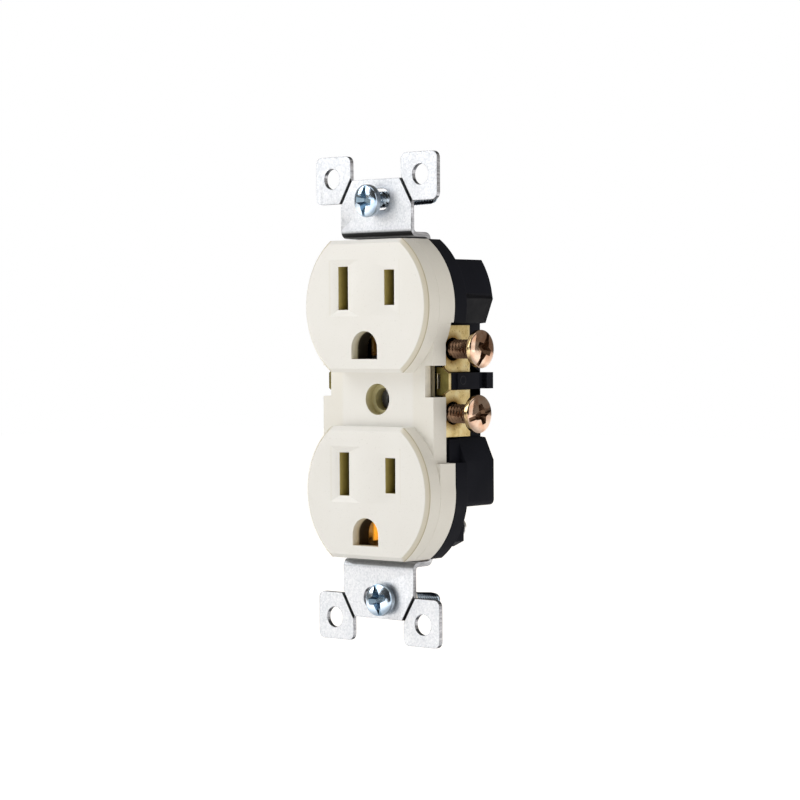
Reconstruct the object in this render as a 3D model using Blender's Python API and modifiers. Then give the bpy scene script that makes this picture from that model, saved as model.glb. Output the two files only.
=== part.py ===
"""Duplex wall outlet: two three-pin sockets in one moulded cover on a steel mounting strap.

Frame: +X right seen from the front, +Y into the wall, +Z up. The origin is the centre of the
strap's mounting plane, which is the back face of its plaster ears. Sizes are in millimetres and
the mesh helpers turn them into metres.
"""
import math

import bmesh
import bpy
from mathutils import Vector

MM = 0.001

# ---- driving dimensions, millimetres ----
FACE_SPACING = 38.9            # centre to centre of the two socket faces
FACE_Z = FACE_SPACING / 2
FACE_RADIUS = 17.05
FACE_FLAT = 13.85              # face centre to its top and bottom flats
FACE_Y = -4.9                  # front plane of the socket faces
FACE_CHAMFER = 0.8
WALL = 1.75                    # moulded wall thickness

WAIST_Y = -0.8                 # front plane of the bar between the faces
WAIST_HALF = 15.2
WAIST_REAR_Y = 3.3
COVER_REAR_Y = 4.1
SKIRT_HALF = 16.95             # straight side of the lower skirt
SKIRT_TOP_Z = -13.1
WAIST_TRIM_Z = 15.9
NOTCH_X = 13.0
NOTCH_Z = (0.55, 7.05)

SLOT_X = 6.35
SLOT_RISE = 3.79               # blade slots' centre above the face centre
SLOT_WIDTH = 2.7
NEUTRAL_SLOT = 9.05
HOT_SLOT = 7.3
FUNNEL_DEPTH = 0.7
FUNNEL_X = 5.5                 # the funnel's front is nearer the middle than its slot
FUNNEL_SIZE = (8.8, 11.8)
SLOT_COLLAR = 0.75             # wall round a slot behind the face
SLOT_COLLAR_Y = 0.95
GROUND_DROP = 11.9             # ground pin centre below the blade slots' centre
GROUND_RADIUS = 3.55
GROUND_BOTTOM = 2.9            # ground pin centre to the flat of its opening
GROUND_COLLAR = 0.7
GROUND_COLLAR_Y = 0.3

LIVE_Z = SLOT_RISE             # terminals and contacts mirror about this height
BODY_FRONT_Y = 4.4
FLANGE_REAR_Y = 8.0
BODY_REAR_Y = 16.9
BODY_HALF = 16.9
BODY_TOP_Z = 29.1
RECESS_X = 13.4                # body wall behind the terminal plates
RECESS_Z = (-8.3, 15.85)
CLEAR = 0.3                    # gap between pieces that touch
SEAM = 0.05                    # step between two walls that would otherwise share a plane
DRAFT = 0.12                   # slope of the recess's ends over their width
BLOCK_BOTTOM_Z = -22.4
BOSS_HALF = 8.7

STRAP = 1.0                    # strap thickness
STRAP_INNER_Y = 4.9            # middle of the strap where it runs inside
STRAP_RUN_Z = 34.2             # middle of the strap where it passes over the cover
STRAP_BEND = 1.2
NECK_HALF = 9.65
TONGUE_HALF = 6.9
TONGUE_Z = 45.9
EAR_X = (6.95, 16.65)
EAR_Z = (41.1, 51.05)
EAR_CORNER = 1.4
EAR_HOLE = (12.18, 46.41, 2.17)
BOX_SCREW_Z = 41.67            # half of the 83.34 mm box screw spacing
BOX_SLOT = (4.0, 2.28)         # half length and half height
WALLPLATE_TAP_R = 1.75

PLATE_X = (14.0, 14.8)         # terminal plate
PLATE_Y = (3.6, 11.7)
PLATE_Z = (5.6, 15.4)          # upper plate; the lower one mirrors it
FIN_Y = (2.5, 3.3)
ARM_Y = (8.6, 9.4)
TERMINAL_Y = 6.1
TERMINAL_Z = 10.42
TERMINAL_OUT = 21.35           # head underside of the upper hot screw, backed out
TERMINAL_IN = 15.85            # head underside screwed in, where the head clears the cover
CONTACT_THICKNESS = 0.5

ASSEMBLY_SCREWS = {
    "assembly_screw_top": (0.0, 26.3),
    "assembly_screw_bottom_left": (-6.6, -27.56),
    "assembly_screw_bottom_right": (6.6, -27.56),
}
SCREW_BOSS_R = 2.1
GROUND_TAB_Z = (-31.5, -25.5)
GROUND_TAB_X = -16.4
GROUND_SCREW = (GROUND_TAB_X - STRAP / 2 - CLEAR, 10.6, -28.5)

ROUND = 32                     # sides of a drilled hole

PARTS = None
GUIDES = None


# ---- scene and materials ----
def clear_scene():
    for obj in list(bpy.data.objects):
        bpy.data.objects.remove(obj, do_unlink=True)


def new_collection(name):
    collection = bpy.data.collections.new(name)
    bpy.context.scene.collection.children.link(collection)
    return collection


def material(name, colour, roughness, metallic=0.0):
    mat = bpy.data.materials.new(name)
    mat.use_nodes = True
    shader = mat.node_tree.nodes["Principled BSDF"]
    shader.inputs["Base Color"].default_value = (*colour, 1.0)
    shader.inputs["Roughness"].default_value = roughness
    shader.inputs["Metallic"].default_value = metallic
    return mat


def finish_part(obj, mat, smooth=True):
    """Puts a finished piece in the object's collection with its material."""
    for collection in list(obj.users_collection):
        collection.objects.unlink(obj)
    PARTS.objects.link(obj)
    obj.data.materials.clear()
    obj.data.materials.append(mat)
    if smooth:
        obj.data.shade_smooth()
        obj.data.set_sharp_from_angle(angle=math.radians(35))
    return obj


# ---- outlines, as lists of points in millimetres ----
def arc(cx, cy, radius, start, end, steps):
    """Points on an arc, angles in degrees."""
    angles = (math.radians(start + (end - start) * i / steps) for i in range(steps + 1))
    return [(cx + radius * math.cos(a), cy + radius * math.sin(a)) for a in angles]


def circle(cx, cy, radius, steps=ROUND):
    return arc(cx, cy, radius, 0, 360 - 360 / steps, steps - 1)


def rectangle(x0, y0, x1, y1):
    return [(x0, y0), (x1, y0), (x1, y1), (x0, y1)]


def oblong(cx, cy, half_length, radius):
    """A slot with round ends that runs along the first axis."""
    straight = half_length - radius
    return (arc(cx + straight, cy, radius, -90, 90, 12)
            + arc(cx - straight, cy, radius, 90, 270, 12))


def both_sides(right):
    """Closes an outline from its right half, listed from top to bottom."""
    return right + [(-x, z) for x, z in reversed(right)]


def ribbon(points, thickness):
    """The outline of a bent strip, from the points along its middle."""
    left, right = [], []
    for i, point in enumerate(points):
        before = Vector(points[max(i - 1, 0)])
        after = Vector(points[min(i + 1, len(points) - 1)])
        along = (after - before).normalized()
        side = Vector((-along.y, along.x)) * thickness / 2
        left.append(tuple(Vector(point) + side))
        right.append(tuple(Vector(point) - side))
    return left + right[::-1]


def face_outline(centre_z, inset=0.0):
    """A socket face: a circle cut off flat at its top and bottom."""
    radius = FACE_RADIUS - inset
    corner = math.degrees(math.asin((FACE_FLAT - inset) / radius))
    return both_sides(arc(0, centre_z, radius, corner, -corner, 28))


def skirt_outline(inset=0.0):
    """The cover's skirt: both faces joined by the waist, with the lower straight sides."""
    radius = FACE_RADIUS - inset
    waist = WAIST_HALF - inset
    side = SKIRT_HALF - inset
    step_z = SKIRT_TOP_Z - inset
    corner = math.degrees(math.asin((FACE_FLAT - inset) / radius))
    meets_waist = -math.degrees(math.acos(waist / radius))
    meets_side = math.degrees(math.acos(side / radius))
    right = arc(0, FACE_Z, radius, corner, meets_waist, 26)
    right += [(waist, step_z), (side, step_z)]
    right += arc(0, -FACE_Z, radius, meets_side, -corner, 20)
    return both_sides(right)


def flange_outline():
    """The body's front flange: the skirt's outline with the terminal recesses let in."""
    corner = math.degrees(math.asin(FACE_FLAT / FACE_RADIUS))
    meets_recess = -math.degrees(math.asin((FACE_Z - RECESS_Z[1] - SEAM) / FACE_RADIUS))
    meets_side = math.degrees(math.acos(SKIRT_HALF / FACE_RADIUS))
    right = arc(0, FACE_Z, FACE_RADIUS, corner, meets_recess, 24)
    right += [(RECESS_X + SEAM, RECESS_Z[1]), (RECESS_X + SEAM, RECESS_Z[0] + DRAFT)]
    right += [(WAIST_HALF, RECESS_Z[0]), (WAIST_HALF, SKIRT_TOP_Z)]
    right += [(SKIRT_HALF, SKIRT_TOP_Z)]
    right += arc(0, -FACE_Z, FACE_RADIUS, meets_side, -corner, 20)
    return both_sides(right)


def block_outline():
    """The body behind its flange: two wide blocks, the recess between them and the foot."""
    top = math.degrees(math.asin((BODY_TOP_Z - FACE_Z) / BODY_HALF))
    right = arc(0, FACE_Z, BODY_HALF, top, 6, 10)
    right += [(BODY_HALF, 20.9), (14.9, RECESS_Z[1])]
    right += [(RECESS_X, RECESS_Z[1] - DRAFT), (RECESS_X, RECESS_Z[0] + 2 * DRAFT)]
    right += [(14.7, RECESS_Z[0] + DRAFT), (BODY_HALF, -12.9)]
    right += arc(BODY_HALF - 1.2, BLOCK_BOTTOM_Z + 1.2, 1.2, 0, -90, 4)
    right += [(BOSS_HALF, BLOCK_BOTTOM_Z - 0.2), (BOSS_HALF, -30.4), (6.0, -31.7)]
    return both_sides(right)


def inner_strap_half(grow=0.0):
    """Right half of the strap between its two necks, top to bottom."""
    neck = NECK_HALF + grow
    narrow = 3.4 + grow
    middle = 6.0 + grow
    return [
        (neck, 30.6 - grow), (narrow, 29.4 - grow), (narrow, 17.0 + grow),
        (middle, 16.0 + grow), (middle, -8.4 - grow), (narrow, -9.4 - grow),
        (narrow, -23.3 + grow), (neck, -24.5 + grow),
    ]


def ear_half():
    """Right upper ear, from the tongue's corner to the neck."""
    (x0, x1), (z0, z1), r = EAR_X, EAR_Z, EAR_CORNER
    points = [(TONGUE_HALF, TONGUE_Z), (x0, TONGUE_Z)]
    points += arc(x0 + r, z1 - r, r, 180, 90, 6)
    points += arc(x1 - r, z1 - r, r, 90, 0, 6)
    points += arc(x1 - r, z0 + r, r, 0, -90, 6)
    return points + [(NECK_HALF, z0)]


def strap_outline():
    ear = ear_half()
    lower_ear = [(x, -z) for x, z in reversed(ear)]
    return both_sides(ear + inner_strap_half() + lower_ear)


def strap_holes():
    """Every hole through the strap, as closed outlines."""
    x, z, radius = EAR_HOLE
    loops = [circle(sx * x, sz * z, radius, 28) for sx in (-1, 1) for sz in (-1, 1)]
    loops += [oblong(0, sz * BOX_SCREW_Z, *BOX_SLOT) for sz in (-1, 1)]
    loops.append(circle(0, 0, WALLPLATE_TAP_R, 20))
    loops += [circle(sx, sz, 1.5, 16) for sx, sz in ASSEMBLY_SCREWS.values()]
    for pin_z in ground_heights():
        loops.append(rectangle(-3.3, pin_z - 2.6, 3.3, pin_z + 2.6))
        loops.append(circle(0, pin_z + 4.85, 1.25, 16))
    return loops


def ground_heights():
    return [sz * FACE_Z + SLOT_RISE - GROUND_DROP for sz in (1, -1)]


def mirror_z(z):
    """The height on the other side of the live parts' middle."""
    return 2 * LIVE_Z - z


# ---- solids ----
def link_guide(obj):
    """Marks an object as a cutter or a guide."""
    for collection in list(obj.users_collection):
        collection.objects.unlink(obj)
    GUIDES.objects.link(obj)
    obj.hide_render = True
    obj.display_type = "WIRE"
    return obj


def mesh_object(name, bm):
    mesh = bpy.data.meshes.new(name)
    bm.to_mesh(mesh)
    bm.free()
    obj = bpy.data.objects.new(name, mesh)
    GUIDES.objects.link(obj)
    return obj


def curve_to_mesh(curve_obj, name):
    """Makes a mesh object of a curve, with its caps welded, and removes the curve."""
    bpy.context.view_layer.update()
    evaluated = curve_obj.evaluated_get(bpy.context.evaluated_depsgraph_get())
    mesh = bpy.data.meshes.new_from_object(evaluated)
    bm = bmesh.new()
    bm.from_mesh(mesh)
    bmesh.ops.remove_doubles(bm, verts=bm.verts, dist=1e-6)
    bmesh.ops.recalc_face_normals(bm, faces=bm.faces)
    bm.to_mesh(mesh)
    bm.free()
    mesh.name = name
    obj = bpy.data.objects.new(name, mesh)
    GUIDES.objects.link(obj)
    obj.matrix_world = curve_obj.matrix_world
    bpy.data.objects.remove(curve_obj, do_unlink=True)
    return obj


AXIS_TURN = {
    "X": (math.pi / 2, 0, math.pi / 2),
    "Y": (math.pi / 2, 0, 0),
    "Z": (0, 0, 0),
}


def prism(name, loops, axis, low, high, chamfer=0.0):
    """A flat outline, with any holes, given thickness along an axis from low to high.

    The outline's points are (y, z) along X, (x, z) along Y and (x, y) along Z.
    """
    curve = bpy.data.curves.new(name + "_outline", "CURVE")
    curve.dimensions = "2D"
    curve.fill_mode = "BOTH"
    for loop in loops:
        spline = curve.splines.new("POLY")
        spline.points.add(len(loop) - 1)
        for point, (u, v) in zip(spline.points, loop):
            point.co = (u * MM, v * MM, 0, 1)
        spline.use_cyclic_u = True
    curve.extrude = ((high - low) / 2 - chamfer) * MM
    curve.bevel_depth = chamfer * MM
    curve.bevel_resolution = 0
    curve.offset = -chamfer * MM
    obj = bpy.data.objects.new(name + "_outline", curve)
    GUIDES.objects.link(obj)
    obj.rotation_euler = AXIS_TURN[axis]
    obj.location["XYZ".index(axis)] = (low + high) / 2 * MM
    return curve_to_mesh(obj, name)


def box(name, low, high):
    bm = bmesh.new()
    bmesh.ops.create_cube(bm, size=1.0)
    size = [(b - a) * MM for a, b in zip(low, high)]
    bmesh.ops.scale(bm, vec=size, verts=bm.verts)
    obj = mesh_object(name, bm)
    obj.location = [(a + b) / 2 * MM for a, b in zip(low, high)]
    return obj


def funnel(name, z, y_front, y_back, front, back):
    """A box whose front and back rectangles differ; each is its middle x, width and height."""
    obj = box(name, (-0.5, y_front, z - 0.5), (0.5, y_back, z + 0.5))
    for vertex in obj.data.vertices:
        x, width, height = front if vertex.co.y < 0 else back
        vertex.co.x = vertex.co.x * width + x * MM
        vertex.co.z *= height
    return obj


def cylinder(name, axis, centre, radius, low, high, sides=ROUND):
    """A cylinder along an axis from low to high; centre is its place on the other two axes."""
    bm = bmesh.new()
    bmesh.ops.create_cone(
        bm, cap_ends=True, segments=sides,
        radius1=radius * MM, radius2=radius * MM, depth=(high - low) * MM,
    )
    obj = mesh_object(name, bm)
    obj.rotation_euler = AXIS_TURN[axis]
    place = list(centre)
    place.insert("XYZ".index(axis), (low + high) / 2)
    obj.location = [value * MM for value in place]
    return obj


def boolean(target, other, operation="DIFFERENCE"):
    modifier = target.modifiers.new(other.name, "BOOLEAN")
    modifier.operation = operation
    modifier.solver = "EXACT"
    modifier.object = link_guide(other)
    return target


def turned(name, profile, steps=28):
    """A solid of revolution about its own Z; profile is (radius, height) from top to bottom."""
    mesh = bpy.data.meshes.new(name)
    points = [(radius * MM, 0, height * MM) for radius, height in profile]
    edges = [(i, i + 1) for i in range(len(points) - 1)]
    mesh.from_pydata(points, edges, [])
    obj = bpy.data.objects.new(name, mesh)
    GUIDES.objects.link(obj)
    screw = obj.modifiers.new("turn", "SCREW")
    screw.steps = steps
    screw.render_steps = steps
    screw.use_smooth_shade = True
    screw.use_merge_vertices = True
    screw.merge_threshold = 1e-6
    return obj


def place_along(obj, origin, outward):
    """Puts a turned piece at origin with its +Z pointing outward."""
    obj.location = [value * MM for value in origin]
    obj.rotation_euler = Vector(outward).to_track_quat("Z", "Y").to_euler()
    return obj


def cut_recess(screw, top, widths, depth):
    """Cuts crossed driver slots into a screw's head, in the screw's own axes."""
    for i, (length, width) in enumerate(widths):
        half_u, half_v = (length / 2, width / 2) if i == 0 else (width / 2, length / 2)
        cutter = box(f"{screw.name}_slot_{i}", (-half_u, -half_v, top - depth),
                     (half_u, half_v, top + 0.5))
        cutter.parent = screw
        boolean(screw, cutter)


# ---- moulded pieces ----
def cover_solid():
    cover = prism("front_cover", [skirt_outline()], "Y", WAIST_Y, COVER_REAR_Y)
    for name, sz in (("upper", 1), ("lower", -1)):
        face = prism(f"face_{name}", [face_outline(sz * FACE_Z, SEAM)], "Y", FACE_Y, 0.6,
                     FACE_CHAMFER)
        boolean(cover, face, "UNION")
    return cover


def hollow_cover(cover):
    screw_bosses = [circle(x, z, SCREW_BOSS_R, 20) for x, z in ASSEMBLY_SCREWS.values()]
    middle_boss = circle(0, 0, 4.4, 24)
    main = prism("cover_hollow", [skirt_outline(WALL), middle_boss] + screw_bosses,
                 "Y", WAIST_Y + WALL, COVER_REAR_Y + 1)
    boolean(cover, main)
    for name, sz in (("upper", 1), ("lower", -1)):
        bosses = [loop for loop in screw_bosses if loop[0][1] * sz > 0]
        hollow = prism(f"face_hollow_{name}", [face_outline(sz * FACE_Z, WALL + SEAM)] + bosses,
                       "Y", FACE_Y + WALL, WAIST_Y + WALL + 0.4)
        boolean(cover, hollow)
    trim = box("waist_trim", (-20, WAIST_REAR_Y, SKIRT_TOP_Z + SEAM),
               (20, COVER_REAR_Y + 1, WAIST_TRIM_Z))
    boolean(cover, trim)
    for name, side in (("right", 1), ("left", -1)):
        x0, x1 = sorted((side * NOTCH_X, side * 20))
        boolean(cover, box(f"notch_{name}", (x0, -3, NOTCH_Z[0]), (x1, 6, NOTCH_Z[1])))


def blade_slots(centre_z):
    """Name, side, middle x and z, and height of a face's two blade slots."""
    z = centre_z + SLOT_RISE
    return (("neutral", -1, -SLOT_X, z, NEUTRAL_SLOT), ("hot", 1, SLOT_X, z, HOT_SLOT))


def slot_box(name, x, z, height, grow, y_front, y_back):
    half = SLOT_WIDTH / 2 + grow
    tall = height / 2 + grow
    return box(name, (x - half, y_front, z - tall), (x + half, y_back, z + tall))


def ground_arch(centre_z, grow=0.0):
    """A ground pin's opening: round above and flat below."""
    pin_z = centre_z + SLOT_RISE - GROUND_DROP
    radius = GROUND_RADIUS + grow
    bottom = pin_z - GROUND_BOTTOM - grow
    return arc(0, pin_z - 0.62, radius, 0, 180, 20) + [(-radius, bottom), (radius, bottom)]


def add_socket_collars(cover, centre_z, name):
    """The moulded walls behind the face that lead a plug's pins to the contacts."""
    for kind, _, x, z, height in blade_slots(centre_z):
        boolean(cover, slot_box(f"collar_{name}_{kind}", x, z, height, SLOT_COLLAR,
                                FACE_Y + 1, SLOT_COLLAR_Y), "UNION")
    boolean(cover, prism(f"ground_collar_{name}", [ground_arch(centre_z, GROUND_COLLAR)], "Y",
                         FACE_Y + 1, GROUND_COLLAR_Y), "UNION")


def cut_socket_openings(cover, centre_z, name):
    for kind, side, x, z, height in blade_slots(centre_z):
        boolean(cover, slot_box(f"slot_{name}_{kind}", x, z, height, 0.0, FACE_Y - 1,
                                SLOT_COLLAR_Y + 1))
        boolean(cover, funnel(f"funnel_{name}_{kind}", z, FACE_Y - 0.02, FACE_Y + FUNNEL_DEPTH,
                              (side * FUNNEL_X, *FUNNEL_SIZE),
                              (x, SLOT_WIDTH + 0.3, height + 0.3)))
    boolean(cover, prism(f"ground_opening_{name}", [ground_arch(centre_z)], "Y",
                         FACE_Y - 1, GROUND_COLLAR_Y + 1))


def make_front_cover(mat):
    cover = cover_solid()
    hollow_cover(cover)
    for name, centre_z in (("upper", FACE_Z), ("lower", -FACE_Z)):
        add_socket_collars(cover, centre_z, name)
        cut_socket_openings(cover, centre_z, name)
    boolean(cover, cylinder("plate_screw_head_seat", "Y", (0, 0), 3.28, WAIST_Y - 1, 1.25))
    boolean(cover, cylinder("plate_screw_way", "Y", (0, 0), 2.33, 1.0, 6.0, 24))
    for name, (x, z) in ASSEMBLY_SCREWS.items():
        boolean(cover, cylinder(f"{name}_pilot", "Y", (x, z), 1.5, -1.9, 6.0, 16))
    return finish_part(cover, mat)


def body_solid():
    body = prism("rear_body", [flange_outline()], "Y", BODY_FRONT_Y, FLANGE_REAR_Y)
    block = prism("blocks", [block_outline()], "Y", FLANGE_REAR_Y - 0.5, BODY_REAR_Y)
    boolean(body, block, "UNION")
    for name, side in (("right", 1), ("left", -1)):
        x0, x1 = sorted((side * (RECESS_X - 0.6), side * BODY_HALF))
        rib = box(f"barrier_{name}", (x0, FIN_Y[1] + 0.4, 2.1), (x1, BODY_REAR_Y - 0.05, 5.5))
        boolean(body, rib, "UNION")
        for tag, depth, y0, y1 in (("nose", 0.6, 3.0, 5.2), ("groove", 1.3, 12.1, 14.7)):
            x0, x1 = sorted((side * (BODY_HALF - depth), side * 18))
            boolean(body, box(f"barrier_{tag}_{name}", (x0, y0, 1.5), (x1, y1, 6.1)))
    return body


def cut_contact_pockets(body):
    """A pocket for each blade contact, with its way out to the terminal plate."""
    for side, side_name in ((1, "hot"), (-1, "neutral")):
        for level in ("upper", "lower"):
            spans = {"pocket": (5.3, 27.5), "arm": (12.0, 15.5), "tip": (TERMINAL_Z, TERMINAL_Z)}
            if level == "lower":
                spans = {key: (mirror_z(b), mirror_z(a)) for key, (a, b) in spans.items()}
            tag = f"{side_name}_{level}"
            x0, x1 = sorted((side * 4.5, side * 12.1))
            z0, z1 = spans["pocket"]
            boolean(body, box(f"pocket_{tag}", (x0, 3, z0), (x1, 15.4, z1)))
            x0, x1 = sorted((side * 11.8, side * 15.3))
            z0, z1 = spans["arm"]
            boolean(body, box(f"arm_way_{tag}", (x0, 3, z0), (x1, 9.8, z1)))
            x0, x1 = sorted((side * 11.8, side * 14.0))
            boolean(body, cylinder(f"tip_way_{tag}", "X", (TERMINAL_Y, spans["tip"][0]), 2.5,
                                   x0, x1, 20))


def cut_ground_pockets(body):
    for name, pin_z in zip(("upper", "lower"), ground_heights()):
        boolean(body, box(f"ground_pocket_{name}", (-3.4, 3, pin_z - 2.6), (3.4, 15.9, pin_z + 2.6)))
        boolean(body, box(f"ground_foot_{name}", (-3.2, 3, pin_z), (3.2, 6.7, pin_z + 7.0)))
        boolean(body, cylinder(f"rivet_way_{name}", "Y", (0, pin_z + 4.85), 2.1, 3, 7.6, 20))


def strap_recess_outline():
    half = [(NECK_HALF + CLEAR, 40)] + inner_strap_half(CLEAR) + [(NECK_HALF + CLEAR, -40)]
    return both_sides(half)


def make_rear_body(mat):
    body = body_solid()
    cut_contact_pockets(body)
    boolean(body, prism("strap_recess", [strap_recess_outline()], "Y", 3.0,
                        STRAP_INNER_Y + STRAP / 2 + CLEAR))
    boolean(body, box("ground_tab_way", (-20, 3, GROUND_TAB_Z[0] - CLEAR),
                      (-9.0, STRAP_INNER_Y + STRAP / 2 + CLEAR, GROUND_TAB_Z[1] + CLEAR)))
    boolean(body, box("ground_tab_turn", (-20, 3, GROUND_TAB_Z[0] - CLEAR),
                      (GROUND_TAB_X + 1.0, 9, GROUND_TAB_Z[1] + 0.2)))
    cut_ground_pockets(body)
    boolean(body, cylinder("plate_screw_tip_way", "Y", (0, 0), 2.2, 3, 14, 20))
    for name, (x, z) in ASSEMBLY_SCREWS.items():
        boolean(body, cylinder(f"{name}_way", "Y", (x, z), 1.6, 3, BODY_REAR_Y + 1, 16))
    return finish_part(body, mat)


# ---- strap ----
def strap_profile():
    """The strap seen from the side: ear, bend over the cover, straight run and back again."""
    ear_y = -STRAP / 2
    upper = [(ear_y, 55.0)]
    upper += arc(ear_y + STRAP_BEND, STRAP_RUN_Z + STRAP_BEND, STRAP_BEND, 180, 270, 6)
    upper += arc(STRAP_INNER_Y - STRAP_BEND, STRAP_RUN_Z - STRAP_BEND, STRAP_BEND, 90, 0, 6)
    lower = [(y, -z) for y, z in reversed(upper)]
    return ribbon(upper + lower, STRAP)


def score_groove(name, x, z):
    """A square bar along the line where an ear is meant to snap off."""
    start = Vector((x * (TONGUE_HALF - 0.2), -STRAP, z * (TONGUE_Z + 0.35)))
    end = Vector((x * (NECK_HALF + 0.3), -STRAP, z * (EAR_Z[0] - 0.4)))
    length = (end - start).length
    bm = bmesh.new()
    bmesh.ops.create_cone(bm, cap_ends=True, segments=4, radius1=0.38 * MM, radius2=0.38 * MM,
                          depth=length * MM)
    obj = mesh_object(name, bm)
    obj.location = (start + end) / 2 * MM
    obj.rotation_euler = (end - start).to_track_quat("Z", "Y").to_euler()
    return obj


def make_strap(mat):
    strap = prism("mounting_strap", [strap_profile()], "X", -18, 18)
    outline = prism("strap_outline", [strap_outline()] + strap_holes(), "Y", -3, 8)
    boolean(strap, outline, "INTERSECT")
    tab_middle = [(-8.8, STRAP_INNER_Y)]
    tab_middle += arc(GROUND_TAB_X + STRAP_BEND, STRAP_INNER_Y + STRAP_BEND, STRAP_BEND,
                      270, 180, 6)
    tab_middle += [(GROUND_TAB_X, 14.0)]
    tab = prism("ground_tab", [ribbon(tab_middle, STRAP)], "Z", *GROUND_TAB_Z)
    boolean(strap, tab, "UNION")
    _, y, z = GROUND_SCREW
    boolean(strap, cylinder("ground_tap", "X", (y, z), 2.4, GROUND_TAB_X - 2, GROUND_TAB_X + 2, 20))
    for i, (x, z) in enumerate(((1, 1), (-1, 1), (1, -1), (-1, -1))):
        boolean(strap, score_groove(f"score_{i}", x, z))
    return finish_part(strap, mat)


# ---- conductors ----
def fin_outline(side):
    """The tab that joins both plates of a strip and is broken off to part them."""
    top, bottom = 6.7, mirror_z(6.7)
    tip_top, tip_bottom = 5.45, mirror_z(5.45)
    points = [(13.3, bottom), (14.75, bottom), (16.6, tip_bottom), (16.6, tip_top),
              (14.75, top), (13.3, top)]
    return [(side * x, z) for x, z in points]


def arm_outline(side, level):
    points = [(14.4, 12.6), (14.4, 15.2), (11.6, 15.2), (11.6, 26.0), (7.75, 26.0),
              (7.75, 19.9), (9.6, 19.9), (9.6, 12.6)]
    if level == "lower":
        points = [(x, mirror_z(z)) for x, z in points]
    return [(side * x, z) for x, z in points]


def blade_contact(name, side, z_low, z_high):
    """A U of spring metal whose two leaves pinch a plug blade."""
    leaf = [(-1.3, 1.5), (-0.8, 3.2), (-1.35, 6.5), (-1.35, 12.6)]
    middle = leaf + [(-x, y) for x, y in reversed(leaf)]
    middle = [(side * SLOT_X + x, y) for x, y in middle]
    return prism(name, [ribbon(middle, CONTACT_THICKNESS)], "Z", z_low, z_high)


def make_terminal_strip(name, side, contact_half, mat):
    x0, x1 = sorted(side * x for x in PLATE_X)
    strip = box(name, (x0, PLATE_Y[0], PLATE_Z[0]), (x1, PLATE_Y[1], PLATE_Z[1]))
    lower_z = sorted(mirror_z(z) for z in PLATE_Z)
    pieces = [box(f"{name}_lower_plate", (x0, PLATE_Y[0], lower_z[0]), (x1, PLATE_Y[1], lower_z[1]))]
    for level, z in (("upper", (PLATE_Z[0], 6.6)), ("lower", (mirror_z(6.6), mirror_z(PLATE_Z[0])))):
        pieces.append(box(f"{name}_{level}_lug", (x0, FIN_Y[0] + 0.1, z[0]),
                          (x1, PLATE_Y[0] + 0.5, z[1])))
    window_x0, window_x1 = sorted((side * 13.6, side * 14.25))
    window = rectangle(window_x0, LIVE_Z - 1.55, window_x1, LIVE_Z + 1.55)
    pieces.append(prism(f"{name}_fin", [fin_outline(side), window], "Y", *FIN_Y))
    for level in ("upper", "lower"):
        slot_z = LIVE_Z + (FACE_Z if level == "upper" else -FACE_Z)
        pieces.append(prism(f"{name}_{level}_arm", [arm_outline(side, level)], "Y", *ARM_Y))
        pieces.append(blade_contact(f"{name}_{level}_contact", side, slot_z - contact_half,
                                    slot_z + contact_half))
    for piece in pieces:
        boolean(strip, piece, "UNION")
    for level, z in (("upper", TERMINAL_Z), ("lower", mirror_z(TERMINAL_Z))):
        boolean(strip, cylinder(f"{name}_{level}_tap", "X", (TERMINAL_Y, z), 2.4,
                                x0 - 1, x1 + 1, 24))
    return finish_part(strip, mat)


def make_ground_contact(name, pin_z, mat):
    """Two leaves that pinch the ground pin, on a foot riveted to the strap."""
    leaf = [(-2.7, 0.8), (-2.4, 2.4), (-2.6, 5.0), (-2.6, 12.8)]
    middle = leaf + [(-x, y) for x, y in reversed(leaf)]
    contact = prism(name, [ribbon(middle, CONTACT_THICKNESS)], "Z", pin_z - 2.2, pin_z + 2.2)
    foot = [(-2.8, 1.6), (-2.4, 1.6), (-2.4, 2.9), (2.4, 2.9), (2.4, 1.6), (2.8, 1.6),
            (2.8, 6.6), (-2.8, 6.6)]
    foot = [(x, pin_z + z) for x, z in foot]
    foot_y = STRAP_INNER_Y + STRAP / 2 + CLEAR
    foot_solid = prism(f"{name}_foot", [foot, circle(0, pin_z + 4.85, 1.25, 16)], "Y",
                       foot_y, foot_y + 0.6)
    boolean(contact, foot_solid, "UNION")
    return finish_part(contact, mat)


# ---- fasteners ----
def pan_head(radius, rim, height):
    """Head profile from its top centre out and down to its underside, which is at height 0."""
    dome = [(radius * math.sin(a), rim + (height - rim) * math.cos(a))
            for a in (math.radians(15 * i) for i in range(6))]
    dome[0] = (0.0, height)
    return dome + [(radius, rim), (radius, 0.0)]


def threaded_shank(radius, length):
    return [(radius, 0.0), (radius, -length + 0.8), (radius - 0.6, -length), (0.0, -length)]


def make_screw(name, head, shank, mat, origin, outward, recess):
    screw = turned(name, head + shank)
    place_along(screw, origin, outward)
    top = head[0][1]
    cut_recess(screw, top, recess, 1.1)
    return finish_part(screw, mat)


def make_terminal_screws(hot, neutral):
    head = pan_head(3.95, 0.9, 2.0)
    shank = threaded_shank(2.05, 7.3)
    recess = [(8.4, 0.9), (3.6, 1.0)]
    places = (
        ("hot_screw_upper", 1, TERMINAL_OUT, TERMINAL_Z, hot),
        ("hot_screw_lower", 1, TERMINAL_OUT - 0.7, mirror_z(TERMINAL_Z) - 0.1, hot),
        ("neutral_screw_upper", -1, TERMINAL_IN, TERMINAL_Z, neutral),
        ("neutral_screw_lower", -1, TERMINAL_IN, mirror_z(TERMINAL_Z), neutral),
    )
    for name, side, out, z, mat in places:
        make_screw(name, head, shank, mat, (side * out, TERMINAL_Y, z), (side, 0, 0), recess)


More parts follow.
